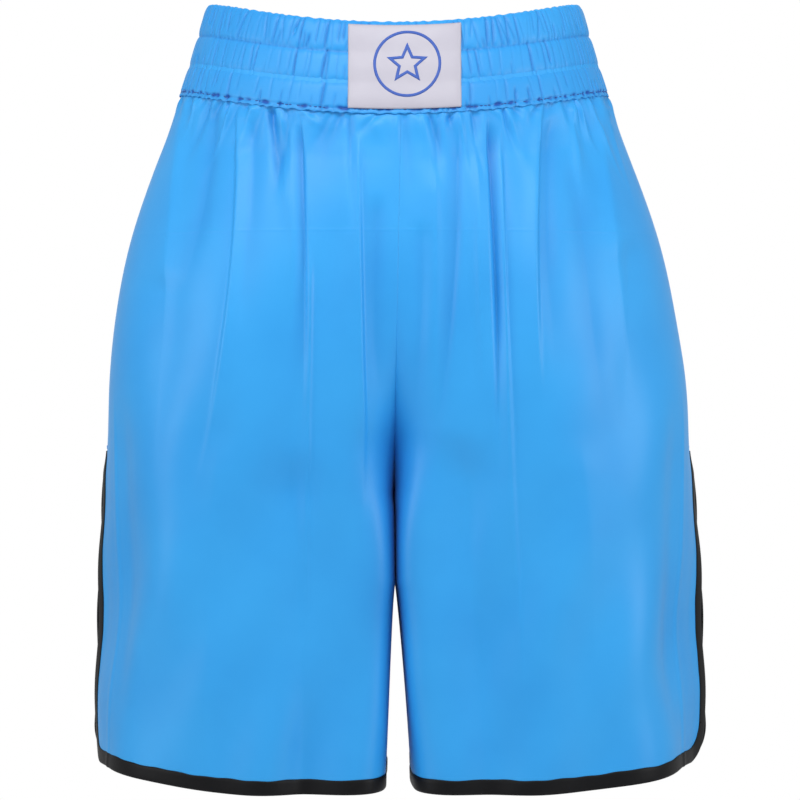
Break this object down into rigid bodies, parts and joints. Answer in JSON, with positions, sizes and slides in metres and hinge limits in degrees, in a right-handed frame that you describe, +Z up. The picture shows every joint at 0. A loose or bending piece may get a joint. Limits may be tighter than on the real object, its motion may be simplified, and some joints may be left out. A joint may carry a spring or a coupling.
{
  "type": "boxing shorts",
  "caption": "Loose knee-length satin boxing shorts with a gathered elastic waistband, a front label, and side vents edged in black binding that runs round the hems.",
  "frame": {"origin": "centre of the waist opening, halfway down the waistband at the sides", "axes": "+Z up out of the waist opening along the shorts' length, +Y towards the back, the front faces -Y, +X towards the wearer's left"},
  "size_m": [0.4068, 0.238, 0.5234],
  "materials": {
    "satin": "bright blue woven satin with a soft sheen",
    "thread": "matching blue sewing thread",
    "elastic": "white woven elastic",
    "binding": "black bias-cut satin binding",
    "label": "pale lilac-white satin with a blue printed emblem",
    "care_label": "plain white ribbon"
  },
  "bodies": {
    "waist": {"waistband_casing": "satin", "elastic_upper": "elastic", "elastic_middle": "elastic", "elastic_lower": "elastic", "channel_stitching_upper": "thread", "channel_stitching_lower": "thread", "waist_seam_stitching": "thread", "front_label": "label", "centre_front_stitching": "thread", "centre_back_stitching": "thread", "side_stitching_left": "thread", "side_stitching_right": "thread", "vent_bar_tack_left": "binding", "vent_bar_tack_right": "binding", "front_panel_left_hip": "satin", "front_panel_right_hip": "satin", "back_panel_left_hip": "satin", "back_panel_right_hip": "satin", "front_panel_left_fold": "satin", "front_panel_right_fold": "satin", "back_panel_left_fold": "satin", "back_panel_right_fold": "satin", "front_vent_binding_left": "binding", "back_vent_binding_left": "binding", "front_vent_binding_right": "binding", "back_vent_binding_right": "binding"},
    "leg_left": {"front_panel_left_leg": "satin", "back_panel_left_leg": "satin", "hem_binding_left": "binding", "inseam_stitching_left": "thread"},
    "leg_right": {"front_panel_right_leg": "satin", "back_panel_right_leg": "satin", "hem_binding_right": "binding", "inseam_stitching_right": "thread"},
    "label_tag": {"care_label": "care_label"}
  },
  "joints": [
    {"name": "left_leg_swing", "type": "hinge", "parent": "waist", "child": "leg_left", "pos_m": [0.1, 0, -0.302], "axis": [-1, 0, 0], "range_deg": [-15, 30], "deforming": ["front_panel_left_fold", "back_panel_left_fold", "front_vent_binding_left", "back_vent_binding_left"]},
    {"name": "right_leg_swing", "type": "hinge", "parent": "waist", "child": "leg_right", "pos_m": [-0.1, 0, -0.302], "axis": [-1, 0, 0], "range_deg": [-15, 30], "deforming": ["front_panel_right_fold", "back_panel_right_fold", "front_vent_binding_right", "back_vent_binding_right"]},
    {"name": "care_label_flap", "type": "hinge", "parent": "waist", "child": "label_tag", "pos_m": [0, 0.0962, -0.026], "axis": [-1, 0, 0], "range_deg": [0, 80]}
  ]
}
